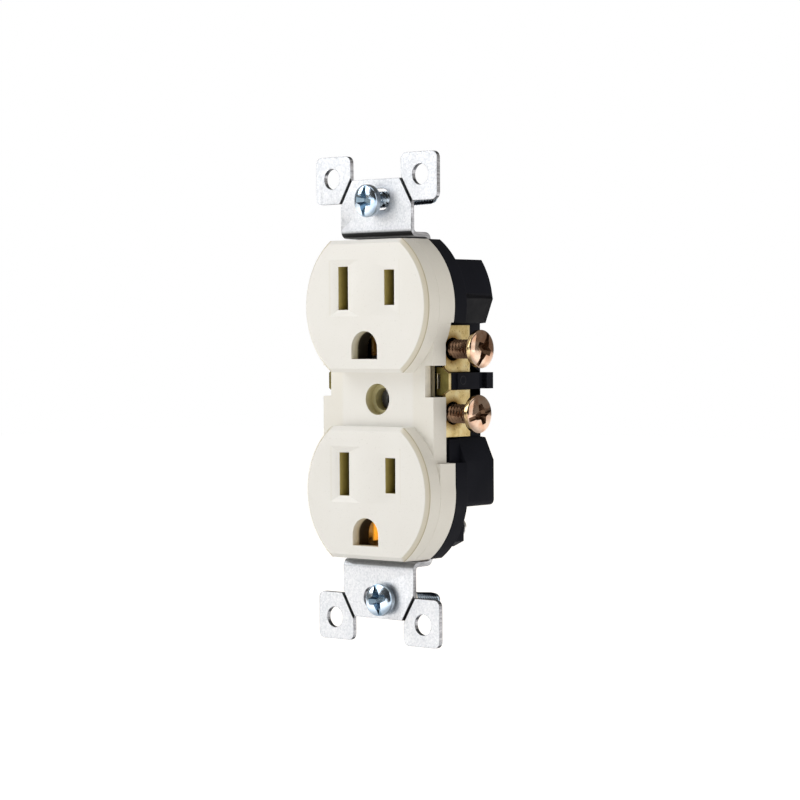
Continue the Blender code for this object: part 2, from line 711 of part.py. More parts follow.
# middle of each box screw's head face and a point on its axis near the tip
BOX_SCREWS = {
    "upper": ((-0.1, -5.0, 41.16), (1.9, 15.7, 43.0), 9.6),
    "lower": ((1.92, -3.85, -41.6), (0.72, 17.3, -43.6), 8.1),
}
BOX_HEAD = 2.2
RETAINER_RADIUS = 2.9


def make_box_screws(steel, fibre):
    """The two long screws that hold the strap to its box, each with its retaining washer."""
    head = pan_head(3.4, 1.2, BOX_HEAD)
    shank = threaded_shank(1.72, 19.05)
    for name, (face, tip, retainer_at) in BOX_SCREWS.items():
        outward = (Vector(face) - Vector(tip)).normalized()
        origin = Vector(face) - outward * BOX_HEAD
        make_screw(f"box_screw_{name}", head, shank, steel, origin, outward,
                   [(7.2, 0.9), (3.4, 0.9)])
        plate = prism(f"screw_retainer_{name}",
                      [circle(0, 0, RETAINER_RADIUS), circle(0, 0, 2.0, 20)], "Z", -0.4, 0.4)
        place_along(plate, origin - outward * retainer_at, outward)
        finish_part(plate, fibre)


def make_ground_screw(mat):
    head = [(0.0, 2.9), (2.2, 2.9), (2.2, 0.6), (4.1, 0.6), (4.1, 0.0)]
    screw = turned("ground_screw", head + threaded_shank(2.05, 7.0))
    place_along(screw, GROUND_SCREW, (-1, 0, 0))
    bm = bmesh.new()
    bmesh.ops.create_cone(bm, cap_ends=True, segments=6, radius1=3.67 * MM, radius2=3.67 * MM,
                          depth=2.6 * MM)
    hexagon = mesh_object("ground_screw_hexagon", bm)
    hexagon.location.z = 1.6 * MM
    hexagon.parent = screw
    boolean(screw, hexagon, "UNION")
    cut_recess(screw, 2.9, [(8.0, 0.9)], 1.0)
    return finish_part(screw, mat)


def make_assembly_screws(mat):
    head = pan_head(2.05, 0.5, 1.5)
    shank = threaded_shank(1.25, 18.2)
    for name, (x, z) in ASSEMBLY_SCREWS.items():
        make_screw(name, head, shank, mat, (x, BODY_REAR_Y + CLEAR, z), (0, 1, 0),
                   [(2.4, 0.6), (2.4, 0.6)])


def make_ground_rivets(mat):
    profile = [(0.0, 0.6), (1.2, 0.5), (1.8, 0.2), (1.8, 0.0), (0.95, 0.0), (0.95, -2.5),
               (1.7, -2.5), (1.7, -2.8), (1.2, -3.1), (0.0, -3.1)]
    front_y = STRAP_INNER_Y - STRAP / 2 - CLEAR
    for name, pin_z in zip(("upper", "lower"), ground_heights()):
        rivet = turned(f"ground_rivet_{name}", profile, 20)
        place_along(rivet, (0, front_y, pin_z + 4.85), (0, -1, 0))
        finish_part(rivet, mat)


def main():
    global PARTS, GUIDES
    clear_scene()
    PARTS = new_collection("duplex_wall_outlet")
    GUIDES = new_collection("cutters")

    ivory = material("ivory_moulding", (0.86, 0.83, 0.76), 0.35)
    black = material("black_moulding", (0.02, 0.02, 0.025), 0.45)
    zinc = material("zinc_plated_steel", (0.72, 0.73, 0.75), 0.35, 1.0)
    brass = material("brass", (0.85, 0.66, 0.34), 0.3, 1.0)
    bronze = material("bronze_screw", (0.60, 0.42, 0.28), 0.3, 1.0)
    nickel = material("nickel_screw", (0.75, 0.74, 0.70), 0.3, 1.0)
    green = material("green_screw", (0.05, 0.35, 0.12), 0.35, 0.3)
    blued = material("blued_zinc", (0.56, 0.66, 0.76), 0.25, 1.0)
    fibre = material("fibre_retainer", (0.85, 0.83, 0.78), 0.8)

    make_front_cover(ivory)
    make_rear_body(black)
    make_strap(zinc)
    make_terminal_strip("hot_terminal_strip", 1, 3.05, brass)
    make_terminal_strip("neutral_terminal_strip", -1, 3.6, brass)
    for name, pin_z in zip(("upper", "lower"), ground_heights()):
        make_ground_contact(f"ground_contact_{name}", pin_z, brass)
    make_ground_rivets(zinc)
    make_terminal_screws(bronze, nickel)
    make_box_screws(blued, fibre)
    make_ground_screw(green)
    make_assembly_screws(zinc)
    bpy.context.view_layer.update()


main()
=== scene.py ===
"""Looks for the duplex wall outlet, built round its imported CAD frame.

Frame: +X right seen from the front, +Y into the wall, +Z up, origin on the mounting plane.
Sizes are in millimetres unless a name says otherwise, and the mesh helpers turn them into metres.
"""

import math

import bmesh
import bpy
from mathutils import Matrix, Vector


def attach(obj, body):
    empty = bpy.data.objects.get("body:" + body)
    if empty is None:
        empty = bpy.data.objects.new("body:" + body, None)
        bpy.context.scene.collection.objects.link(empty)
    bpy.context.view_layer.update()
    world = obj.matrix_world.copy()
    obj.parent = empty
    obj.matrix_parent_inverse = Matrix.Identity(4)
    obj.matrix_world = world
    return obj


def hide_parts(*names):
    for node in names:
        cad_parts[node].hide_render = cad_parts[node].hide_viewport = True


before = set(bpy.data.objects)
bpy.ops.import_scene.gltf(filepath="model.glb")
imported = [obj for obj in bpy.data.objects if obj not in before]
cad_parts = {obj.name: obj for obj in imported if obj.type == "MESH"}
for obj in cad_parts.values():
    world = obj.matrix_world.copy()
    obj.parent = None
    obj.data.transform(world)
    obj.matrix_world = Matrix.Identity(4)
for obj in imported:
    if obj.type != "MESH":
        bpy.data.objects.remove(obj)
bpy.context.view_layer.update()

MM = 0.001
WHITE = (1.0, 1.0, 1.0)
NO_LIGHT = (0.0, 0.0, 0.0)

# Azimuth and elevation in degrees, target and distance in millimetres.
CAMERA_AZIMUTH = 40.504
CAMERA_ELEVATION = 1.506
CAMERA_ROLL = -0.349
CAMERA_TARGET = (5.615, -0.104, -0.094)
CAMERA_DISTANCE = 505.14
CAMERA_LENS = 109.47
SENSOR_WIDTH = 36.0
CLIP_START = 10.0

# ---- driving sizes, as in the CAD ----
FACE_Z = 19.45                 # centre of each face, above or below the origin
FACE_Y = -4.9                  # front plane of the faces
BAR_Y = -0.8                   # front plane of the bar between the faces
SLOT_RISE = 3.79               # blade slots' centre above the face centre
GROUND_DROP = 11.9             # ground pin's centre below the blade slots' centre
TERMINAL_Y = 6.1
TERMINAL_Z = 10.42
LOWER_TERMINAL_Z = -2.84
EJECTOR_YZ = (6.8, 4.0)        # middle of the round mark on each barrier rib
EJECTOR_RADIUS = 0.85
STRAP_BEND_Z = (34.2, 38.2)    # heights over which painted shade darkens the strap at its bends


# ---- node materials ----
class Nodes:
    """Short ways to add and join a material's nodes."""

    def __init__(self, name):
        self.mat = bpy.data.materials.new(name)
        self.mat.use_nodes = True
        self.tree = self.mat.node_tree
        self.shader = self.tree.nodes["Principled BSDF"]
        self.place = self.tree.nodes.new("ShaderNodeTexCoord").outputs["Object"]

    def set(self, **values):
        for key, value in values.items():
            self.shader.inputs[key.replace("_", " ")].default_value = value

    def link(self, out, socket):
        self.tree.links.new(out, socket)

    def stretched(self, scale):
        """Object coordinates scaled on each axis, for grain that runs one way."""
        node = self.tree.nodes.new("ShaderNodeMapping")
        node.inputs["Scale"].default_value = scale
        self.link(self.place, node.inputs["Vector"])
        return node.outputs["Vector"]

    def noise(self, scale, detail=2.0, rough=0.5, vector=None):
        node = self.tree.nodes.new("ShaderNodeTexNoise")
        node.inputs["Scale"].default_value = scale
        node.inputs["Detail"].default_value = detail
        node.inputs["Roughness"].default_value = rough
        self.link(vector or self.place, node.inputs["Vector"])
        return node.outputs["Fac"]

    def cells(self, scale):
        node = self.tree.nodes.new("ShaderNodeTexVoronoi")
        node.inputs["Scale"].default_value = scale
        self.link(self.place, node.inputs["Vector"])
        return node.outputs["Color"]

    def ramp(self, factor, stops):
        node = self.tree.nodes.new("ShaderNodeValToRGB")
        ramp = node.color_ramp
        while len(ramp.elements) < len(stops):
            ramp.elements.new(0.5)
        for element, (at, colour) in zip(ramp.elements, stops):
            element.position = at
            element.color = (*colour, 1.0)
        self.link(factor, node.inputs["Fac"])
        return node.outputs["Color"]

    def spread(self, factor, low, high, at_low=0.3, at_high=0.7):
        """Maps a factor's at_low to at_high range onto low to high."""
        node = self.tree.nodes.new("ShaderNodeMapRange")
        node.inputs["From Min"].default_value = at_low
        node.inputs["From Max"].default_value = at_high
        node.inputs["To Min"].default_value = low
        node.inputs["To Max"].default_value = high
        self.link(factor, node.inputs["Value"])
        return node.outputs["Result"]

    def mix(self, factor, first, second, blend="MIX"):
        node = self.tree.nodes.new("ShaderNodeMix")
        node.data_type = "RGBA"
        node.blend_type = blend
        if isinstance(factor, float):
            node.inputs[0].default_value = factor
        else:
            self.link(factor, node.inputs[0])
        self.link(first, node.inputs[6])
        self.link(second, node.inputs[7])
        return node.outputs[2]

    def axis(self, letter):
        """One object coordinate, in metres."""
        node = self.tree.nodes.new("ShaderNodeSeparateXYZ")
        self.link(self.place, node.inputs["Vector"])
        return node.outputs[letter]

    def maths(self, operation, *factors):
        node = self.tree.nodes.new("ShaderNodeMath")
        node.operation = operation
        for socket, factor in zip(node.inputs, factors):
            self.link(factor, socket)
        return node.outputs["Value"]

    def away_from(self, y, z):
        """Distance from the line along X through y and z, given in millimetres."""
        node = self.tree.nodes.new("ShaderNodeVectorMath")
        node.operation = "DISTANCE"
        node.inputs[1].default_value = (0.0, y * MM, z * MM)
        self.link(self.stretched((0.0, 1.0, 1.0)), node.inputs[0])
        return node.outputs["Value"]

    def near_edge(self, radius_mm, depth=1.0):
        """Rises from 0 on flat ground to depth beside a sharp edge."""
        rounded = self.tree.nodes.new("ShaderNodeBevel")
        rounded.inputs["Radius"].default_value = radius_mm * MM
        closeness = self.tree.nodes.new("ShaderNodeVectorMath")
        closeness.operation = "DOT_PRODUCT"
        self.link(rounded.outputs["Normal"], closeness.inputs[0])
        true = self.tree.nodes.new("ShaderNodeNewGeometry").outputs["Normal"]
        self.link(true, closeness.inputs[1])
        return self.spread(closeness.outputs["Value"], depth, 0.0, 0.72, 0.985)

    def tinted(self, factor, colour, tint):
        """Multiplies a colour by a plain tint where the factor is 1."""
        shade = self.ramp(factor, ((0.0, WHITE), (1.0, tint)))
        return self.mix(1.0, colour, shade, "MULTIPLY")

    def bump(self, height, distance_mm, strength=1.0, normal=None):
        node = self.tree.nodes.new("ShaderNodeBump")
        node.inputs["Distance"].default_value = distance_mm * MM
        node.inputs["Strength"].default_value = strength
        self.link(height, node.inputs["Height"])
        if normal:
            self.link(normal, node.inputs["Normal"])
        return node.outputs["Normal"]

    def finish(self, colour, rough, normal=None):
        self.link(colour, self.shader.inputs["Base Color"])
        self.link(rough, self.shader.inputs["Roughness"])
        if normal:
            self.link(normal, self.shader.inputs["Normal"])
        return self.mat


def moulding(name, dark, mid, light, rough, grain, specular, layer=None):
    """Moulded plastic: a slight mottle, a fine spark-eroded grain and uneven gloss."""
    n = Nodes(name)
    n.set(Specular_IOR_Level=specular)
    cloud = n.noise(70.0, 3.0, 0.55)
    colour = n.ramp(cloud, ((0.25, dark), (0.5, mid), (0.75, light)))
    speck = n.ramp(n.noise(2600.0, 2.0), ((0.28, (0.93, 0.93, 0.92)), (0.36, WHITE)))
    colour = n.mix(1.0, colour, speck, "MULTIPLY")
    if layer:
        colour = layer(n, colour)
    gloss = n.spread(n.noise(210.0, 4.0, 0.6), *rough)
    fine = n.bump(n.noise(5200.0, 2.0, 0.5), grain)
    wave = n.bump(n.noise(120.0, 2.0, 0.5), 0.02, 0.35, fine)
    return n.finish(colour, gloss, wave)


def painted_rim_shade(n, colour):
    """Darkens the bevelled rim of each face with painted shade, most of all where it meets the side."""
    outer = n.spread(n.maths("ABSOLUTE", n.axis("X")), 0.0, 1.0, 9.3 * MM, 10.1 * MM)
    depth = n.spread(n.axis("Y"), 0.0, 1.0, -5.0 * MM, -3.8 * MM)
    tint = n.ramp(depth, ((0.08, WHITE), (0.2, (0.88, 0.85, 0.76)),
                          (0.62, (0.84, 0.79, 0.68)), (0.74, (0.50, 0.43, 0.27)),
                          (0.84, (0.97, 0.96, 0.93))))
    return n.mix(outer, colour, n.mix(1.0, colour, tint, "MULTIPLY"))


def body_moulding(name, mark_yz, mark_radius):
    """Black moulding, with a small round ejector mark on each barrier rib."""
    n = Nodes(name)
    n.set(Specular_IOR_Level=0.06)
    cloud = n.noise(70.0, 3.0, 0.55)
    colour = n.ramp(cloud, ((0.25, (0.0072, 0.0080, 0.0118)), (0.5, (0.0092, 0.0100, 0.0148)),
                            (0.75, (0.0118, 0.0128, 0.0185))))
    share = n.spread(n.away_from(*mark_yz), 0.0, 1.0, 0.0, 2 * mark_radius * MM)
    ring = n.ramp(share, ((0.0, NO_LIGHT), (0.40, NO_LIGHT), (0.48, WHITE), (0.54, WHITE),
                          (0.62, NO_LIGHT)))
    rim = n.ramp(share, ((0.44, (0.010, 0.011, 0.014)), (0.51, (0.035, 0.036, 0.042)),
                         (0.58, (0.010, 0.011, 0.014))))
    colour = n.mix(ring, colour, rim)
    # Lighter colour along the sharp edges.
    edge_lightening = n.ramp(n.noise(300.0, 3.0), ((0.35, (0.012, 0.013, 0.018)), (0.7, (0.034, 0.035, 0.042))))
    colour = n.mix(n.near_edge(0.25, 0.8), colour, edge_lightening)
    gloss = n.spread(n.noise(210.0, 4.0, 0.6), 0.46, 0.64)
    raised = n.bump(ring, 0.05)
    fine = n.bump(n.noise(5200.0, 2.0, 0.5), 0.012, 1.0, raised)
    return n.finish(colour, gloss, fine)


def zinc_sheet(name):
    """Dull zinc plating on rolled sheet: mottled crystals, rolling lines and painted shade at the bends.
    """
    n = Nodes(name)
    n.set(Metallic=0.78)
    cells = n.cells(3000.0)
    colour = n.ramp(cells, ((0.1, (0.67, 0.69, 0.72)), (0.5, (0.76, 0.77, 0.80)),
                            (0.9, (0.84, 0.85, 0.87))))
    cloud = n.ramp(n.noise(160.0, 4.0, 0.6), ((0.3, (0.94, 0.95, 0.96)), (0.7, WHITE)))
    colour = n.mix(1.0, colour, cloud, "MULTIPLY")
    # Painted shade at the bends, darkest under them and weaker on the lower bend.
    front = n.spread(n.axis("Y"), 1.0, 0.0, -0.3 * MM, 0.3 * MM)
    up = n.spread(n.maths("ABSOLUTE", n.axis("Z")), 0.0, 1.0, *(z * MM for z in STRAP_BEND_Z))
    painted_bend_shade = n.ramp(up, ((0.0, (0.015, 0.015, 0.015)), (0.14, (0.05, 0.05, 0.05)),
                         (0.20, (0.56, 0.57, 0.57)), (0.30, (0.94, 0.94, 0.95)),
                         (0.60, WHITE)))
    share = n.maths("MULTIPLY", front, n.spread(n.axis("Z"), 0.62, 1.0, -MM, MM))
    colour = n.mix(share, colour, n.mix(1.0, colour, painted_bend_shade, "MULTIPLY"))
    colour = n.tinted(n.near_edge(0.34), colour, (0.36, 0.37, 0.40))
    rolled = n.noise(900.0, 3.0, 0.6, n.stretched((1.0, 1.0, 0.08)))
    gloss = n.spread(rolled, 0.32, 0.46)
    crystals = n.bump(cells, 0.010, 0.5)
    fine = n.bump(n.noise(3300.0, 3.0, 0.6), 0.02, 0.8, crystals)
    return n.finish(colour, gloss, fine)


def cut_edge(name, dark, mid, light):
    """Sheared steel, with lines through its thickness and dark borders."""
    n = Nodes(name)
    n.set(Metallic=0.9)
    lines = n.noise(2400.0, 3.0, 0.6, n.stretched((1.0, 0.12, 1.0)))
    colour = n.ramp(lines, ((0.3, dark), (0.55, mid), (0.75, light)))
    colour = n.tinted(n.near_edge(0.22), colour, (0.30, 0.31, 0.34))
    return n.finish(colour, n.spread(n.noise(1500.0), 0.32, 0.5), n.bump(lines, 0.02))


def plated(name, dark, light, rough, tint=None, scale=260.0):
    """Bright plating on a turned or stamped piece, with faint stains and tool marks."""
    n = Nodes(name)
    n.set(Metallic=1.0)
    cloud = n.noise(scale, 4.0, 0.6)
    colour = n.ramp(cloud, ((0.3, dark), (0.7, light)))
    if tint:
        stain = n.ramp(n.noise(scale * 1.9, 2.0), ((0.42, WHITE), (0.66, tint)))
        colour = n.mix(1.0, colour, stain, "MULTIPLY")
    gloss = n.spread(n.noise(scale * 5, 3.0, 0.6), *rough)
    fine = n.bump(n.noise(scale * 14, 3.0, 0.6), 0.006)
    return n.finish(colour, gloss, fine)


def brass_sheet(name, glow=0.0):
    """Stamped brass with small dark pits and painted shade round the terminal screws.

    The glow is painted light: a weak amber light that the sheet gives off by itself.
    """
    n = Nodes(name)
    n.set(Metallic=1.0, Emission_Color=(1.0, 0.42, 0.04, 1.0), Emission_Strength=glow)
    cloud = n.noise(420.0, 5.0, 0.65)
    colour = n.ramp(cloud, ((0.3, (0.64, 0.47, 0.19)), (0.5, (0.87, 0.69, 0.33)),
                            (0.72, (0.97, 0.85, 0.52))))
    pits = n.ramp(n.noise(1500.0, 3.0, 0.6), ((0.27, (0.40, 0.31, 0.18)), (0.38, WHITE)))
    colour = n.mix(1.0, colour, pits, "MULTIPLY")
    # Painted shade on the brass round the terminal screws.
    near = n.maths("MINIMUM", n.away_from(TERMINAL_Y, TERMINAL_Z),
                   n.away_from(TERMINAL_Y, LOWER_TERMINAL_Z))
    shade_round_screws = n.ramp(n.spread(near, 0.0, 1.0, 1.8 * MM, 4.3 * MM), (
        (0.0, (0.10, 0.06, 0.03)), (0.3, (0.36, 0.27, 0.16)), (0.85, WHITE)))
    colour = n.mix(1.0, colour, shade_round_screws, "MULTIPLY")
    colour = n.tinted(n.near_edge(0.2), colour, (0.62, 0.52, 0.36))
    gloss = n.spread(n.noise(800.0, 4.0, 0.6), 0.24, 0.44)
    drawn = n.noise(2600.0, 3.0, 0.6, n.stretched((1.0, 1.0, 0.25)))
    return n.finish(colour, gloss, n.bump(drawn, 0.02, 0.8))


def shaded_moulding(name, stops, low_y, high_y):
    """Ivory that darkens with depth, as the light that enters an opening is used up."""
    n = Nodes(name)
    n.set(Specular_IOR_Level=0.15)
    depth = n.spread(n.axis("Y"), 0.0, 1.0, low_y * MM, high_y * MM)
    colour = n.ramp(depth, stops)
    patch = n.ramp(n.noise(900.0, 3.0), ((0.3, (0.88, 0.88, 0.88)), (0.7, WHITE)))
    colour = n.mix(1.0, colour, patch, "MULTIPLY")
    return n.finish(colour, n.spread(n.noise(300.0), 0.5, 0.7), n.bump(n.noise(4000.0), 0.006))


# The ivory takes painted shade on the bevelled rim of each face.
IVORY = moulding("ivory_moulding", (0.790, 0.770, 0.722), (0.805, 0.787, 0.742),
                 (0.818, 0.802, 0.760), (0.34, 0.46), 0.006, 0.40, painted_rim_shade)
SLOT_SHADE = shaded_moulding("ivory_in_slot", (
    (0.0, (0.66, 0.58, 0.32)), (0.12, (0.55, 0.46, 0.17)), (0.55, (0.42, 0.35, 0.11)),
    (1.0, (0.09, 0.066, 0.018))), -4.25, -0.8)
GROUND_SHADE = shaded_moulding("ivory_in_ground_hole", (
    (0.0, (0.90, 0.87, 0.76)), (0.58, (0.84, 0.77, 0.56)), (0.76, (0.06, 0.048, 0.03)),
    (1.0, (0.036, 0.030, 0.023))), FACE_Y, -1.9)
NOTCH_SHADE = shaded_moulding("ivory_in_fin_notch", (
    (0.0, (0.82, 0.79, 0.72)), (0.35, (0.80, 0.75, 0.63)), (0.8, (0.72, 0.65, 0.48)),
    (1.0, (0.45, 0.38, 0.22))), BAR_Y, 2.4)
SEAT_SHADE = shaded_moulding("ivory_in_screw_seat", (
    (0.0, (0.66, 0.61, 0.42)), (0.25, (0.56, 0.50, 0.28)), (0.6, (0.50, 0.45, 0.24)),
    (1.0, (0.24, 0.21, 0.10))), BAR_Y, 3.6)
BLACK = body_moulding("black_moulding", EJECTOR_YZ, EJECTOR_RADIUS)
ZINC = zinc_sheet("zinc_plated_steel")
# Lit and shaded copies of the cut steel: the upright cut edges take painted light, and the slanted ones
# and the steel under the bends take painted shade.
LIT_CUT_EDGE = cut_edge("sheared_steel_edge_painted_light", (0.34, 0.35, 0.38), (0.60, 0.61, 0.65), (0.84, 0.85, 0.88))
SHADED_SLANT_EDGE = cut_edge("sheared_steel_slant_painted_shade", (0.06, 0.065, 0.075), (0.14, 0.15, 0.17), (0.30, 0.31, 0.34))
BEND_SHADE = cut_edge("steel_under_bend", (0.02, 0.02, 0.022), (0.045, 0.046, 0.05), (0.09, 0.09, 0.10))
BRASS = brass_sheet("brass")
# The ground contacts give off a painted glow, stronger on the lower one than on the upper one.
GLOWING_BRASS = brass_sheet("brass_painted_glow", 0.52)
FAINT_GLOW_BRASS = brass_sheet("brass_faint_painted_glow", 0.015)
# Painted shade on the front of each terminal fin.
SHADED_FIN_BRASS = plated("brass_fin_painted_shade", (0.10, 0.085, 0.025), (0.24, 0.20, 0.065), (0.3, 0.5))
# A painted glint in the small window of each terminal fin.
GLINT_BRASS = plated("brass_window_painted_glint", (0.86, 0.83, 0.74), (0.95, 0.92, 0.84), (0.4, 0.6))
BLUED = plated("blued_zinc", (0.50, 0.62, 0.76), (0.72, 0.80, 0.88), (0.10, 0.22),
               (0.80, 0.90, 1.0))
BRONZE = plated("bronze_screw", (0.58, 0.38, 0.28), (0.90, 0.72, 0.58), (0.08, 0.18),
                (0.80, 0.62, 0.52), 190.0)
# Darker copies of the screw platings for rims, shanks and driver recesses carry painted shade.
BRONZE_RIM_SHADE = plated("bronze_rim_painted_shade", (0.22, 0.13, 0.07), (0.80, 0.62, 0.34), (0.08, 0.18), None, 420.0)
BRONZE_SHANK_SHADE = plated("bronze_shank_painted_shade", (0.11, 0.062, 0.04), (0.32, 0.20, 0.125), (0.16, 0.32))
BLUED_RIM_SHADE = plated("blued_rim_painted_shade", (0.20, 0.25, 0.31), (0.62, 0.70, 0.78), (0.10, 0.20), None, 420.0)
BLUED_SHANK_SHADE = plated("blued_shank_painted_shade", (0.20, 0.27, 0.35), (0.50, 0.58, 0.66), (0.12, 0.26))
BRONZE_RECESS_SHADE = plated("bronze_recess_painted_shade", (0.10, 0.055, 0.030), (0.20, 0.12, 0.075), (0.25, 0.45))
BLUED_RECESS_SHADE = plated("blued_recess_painted_shade", (0.13, 0.20, 0.27), (0.28, 0.38, 0.47), (0.14, 0.30))
RECESS_SHADE = plated("steel_recess_painted_shade", (0.16, 0.16, 0.16), (0.30, 0.30, 0.30), (0.2, 0.4))
NICKEL = plated("nickel_screw", (0.62, 0.60, 0.55), (0.78, 0.77, 0.73), (0.14, 0.28))
SILVER = plated("bright_steel", (0.80, 0.81, 0.83), (0.93, 0.94, 0.95), (0.26, 0.42))
GREEN = plated("green_screw", (0.03, 0.26, 0.08), (0.06, 0.42, 0.15), (0.22, 0.36),
               (0.75, 0.9, 0.75))
# Painted shade in the ground screw's slot.
GREEN_RECESS_SHADE = plated("green_recess_painted_shade", (0.01, 0.09, 0.03), (0.02, 0.16, 0.06), (0.3, 0.45))
FIBRE = moulding("fibre_retainer", (0.70, 0.66, 0.56), (0.78, 0.75, 0.66), (0.84, 0.81, 0.74),
                 (0.62, 0.80), 0.03, 0.3)


# ---- meshes ----
ROUNDING_STEPS = 2
ROUNDED_FROM = 28              # degrees between two faces that get a rounded edge
MERGE = 0.001                  # points closer than this become one
FLAT_WITHIN = 0.6              # degrees between faces that count as one flat
CREASE_REACH = 0.03            # how far an edge may lie from the plane where edges stay sharp


def only_material(mesh, mat):
    mesh.materials.clear()
    mesh.materials.append(mat)


def new_piece(name, mesh, mat, body, node):
    obj = bpy.data.objects.new(name, mesh)
    bpy.context.scene.collection.objects.link(obj)
    only_material(mesh, mat)
    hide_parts(node)
    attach(obj, body)
    return obj


def smooth(mesh, angle):
    mesh.shade_smooth()
    mesh.set_sharp_from_angle(angle=math.radians(angle))


def worth_rounding(edge, width, angle):
    """True for an edge sharp enough to round, with room on both sides for the rounding."""
    if len(edge.link_faces) != 2 or edge.calc_face_angle(0.0) < angle:
        return False
    for vertex in edge.verts:
        if min(e.calc_length() for e in vertex.link_edges) < 2.1 * width:
            return False
    for face in edge.link_faces:
        if 2 * face.calc_area() / face.calc_perimeter() < 1.6 * width:
            return False
    return True


def paint_faces(mesh, mat, wanted):
    """Gives mat to each face whose middle and normal, in millimetres, wanted accepts."""
    mesh.materials.append(mat)
    index = len(mesh.materials) - 1
    for face in mesh.polygons:
        if wanted(face.center / MM, face.normal):
            face.material_index = index


def combine(obj, other_mesh, operation):
    """Takes another mesh away from a piece, or joins it on, and keeps only the result."""
    other = bpy.data.objects.new("other", other_mesh)
    bpy.context.scene.collection.objects.link(other)
    modifier = obj.modifiers.new("combine", "BOOLEAN")
    modifier.operation = operation
    modifier.solver = "EXACT"
    modifier.object = other
    bpy.context.view_layer.update()
    made = bpy.data.meshes.new_from_object(
        obj.evaluated_get(bpy.context.evaluated_depsgraph_get()))
    obj.modifiers.clear()
    obj.data = made
    bpy.data.objects.remove(other, do_unlink=True)


def block_mesh(low, high):
    """A plain block between two corners."""
    bm = bmesh.new()
    bmesh.ops.create_cube(bm, size=1.0)
    for vertex in bm.verts:
        vertex.co = [(a + b) / 2 * MM + c * (b - a) * MM for a, b, c in zip(low, high, vertex.co)]
    mesh = bpy.data.meshes.new("block")
    bm.to_mesh(mesh)
    bm.free()
    return mesh


def rounded_copy(node, mat, body, width, added=(), crease_y=None):
    """Stands for a CAD node with the same solid, its edges rounded over.

    The added blocks are joined on, and edges in the plane at crease_y are kept sharp.
    """
    bm = bmesh.new()
    bm.from_mesh(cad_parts[node].data)
    bmesh.ops.remove_doubles(bm, verts=bm.verts, dist=MERGE * MM)
    bmesh.ops.dissolve_limit(bm, angle_limit=math.radians(FLAT_WITHIN), verts=bm.verts,
                             edges=bm.edges)
    edges = [e for e in bm.edges if worth_rounding(e, width * MM, math.radians(ROUNDED_FROM))]
    bmesh.ops.bevel(bm, geom=edges, offset=width * MM, offset_type="OFFSET",
                    segments=ROUNDING_STEPS, profile=0.5, affect="EDGES", clamp_overlap=True)
    mesh = bpy.data.meshes.new(f"{node}_rounded")
    bm.to_mesh(mesh)
    bm.free()
    obj = new_piece(f"{node}_rounded", mesh, mat, body, node)
    for block in added:
        combine(obj, block, "UNION")
    mesh = obj.data
    smooth(mesh, 50)
    if crease_y is not None:
        for edge in mesh.edges:
            ends = [mesh.vertices[i].co.y / MM for i in edge.vertices]
            if all(abs(y - crease_y) < CREASE_REACH for y in ends):
                edge.use_edge_sharp = True
    weighted = obj.modifiers.new("flat_faces_stay_flat", "WEIGHTED_NORMAL")
    weighted.keep_sharp = True
    weighted.weight = 100
    return obj


# ---- which faces take which finish ----
# Each test is given a face's middle in millimetres and its normal. Its limits stand a little
# outside the wall that they pick, so that the rounded edges are picked too.
BLADE_SLOTS = ((-6.35, 4.525), (6.35, 3.65))   # middle X and half the height of each slot
SLOT_REACH_X = 1.42
SLOT_MARGIN_Z = 0.08
SLOT_Y = (-4.28, 2.0)
GROUND_REACH = 3.62
GROUND_ARCH_DROP = 0.62        # centre of the hole's arch below the pin's centre
GROUND_Z = (-2.97, 3.0)        # bottom and top of the hole from the pin's centre
GROUND_FRONT_Y = -4.85
SIDEWAYS = 0.6                 # a normal's share along Y below which a face is a side wall
SEAT_RADIUS = 3.35
SEAT_FLOOR_Y = 0.2
SEAT_FRONT_Y = -0.72
FIN_NOTCH = ((12.9, 15.0), (-0.78, 2.5), (0.5, 7.1))   # without X's sign, then Y and Z
FIN_FRONT_X = 13.3
FIN_Z = (0.9, 6.7)
WINDOW_X = 13.6
WINDOW_Z = (2.2, 5.4)
BEND_Y = (-1.02, 0.02)
BEND_FROM_Z = 35.5


def in_blade_slot(at, normal):
    for face_z in (FACE_Z, -FACE_Z):
        for x, half_height in BLADE_SLOTS:
            near_x = abs(at.x - x) < SLOT_REACH_X
            near_z = abs(at.z - face_z - SLOT_RISE) < half_height + SLOT_MARGIN_Z
            if near_x and near_z and SLOT_Y[0] < at.y < SLOT_Y[1] and normal.y > -SIDEWAYS:
                return True
    return False


def in_ground_hole(at, normal):
    if abs(at.x) >= GROUND_REACH or at.y <= GROUND_FRONT_Y or normal.y <= -SIDEWAYS:
        return False
    for face_z in (FACE_Z, -FACE_Z):
        rise = at.z - (face_z + SLOT_RISE - GROUND_DROP)
        above_arch = max(rise + GROUND_ARCH_DROP, 0.0)
        if GROUND_Z[0] < rise < GROUND_Z[1] and math.hypot(at.x, above_arch) < GROUND_REACH:
            return True
    return False


def in_screw_seat(at, normal):
    on_wall = at.y > SEAT_FRONT_Y and abs(normal.y) < SIDEWAYS
    return math.hypot(at.x, at.z) < SEAT_RADIUS and (at.y > SEAT_FLOOR_Y or on_wall)


def in_fin_notch(at, normal):
    place = (abs(at.x), at.y, at.z)
    return all(low < c < high for c, (low, high) in zip(place, FIN_NOTCH))


def on_fin_front(at, normal):
    return normal.y < -0.9 and abs(at.x) > FIN_FRONT_X and FIN_Z[0] < at.z < FIN_Z[1]


def in_fin_window(at, normal):
    outward = at.x * normal.x > 0.5 * abs(at.x)
    return abs(abs(at.x) - WINDOW_X) < 0.05 and WINDOW_Z[0] < at.z < WINDOW_Z[1] and outward


def on_sheared_edge(at, normal):
    return abs(normal.x) > 0.9


def on_slanted_edge(at, normal):
    return 0.3 < abs(normal.x) <= 0.9 and abs(normal.y) < 0.3


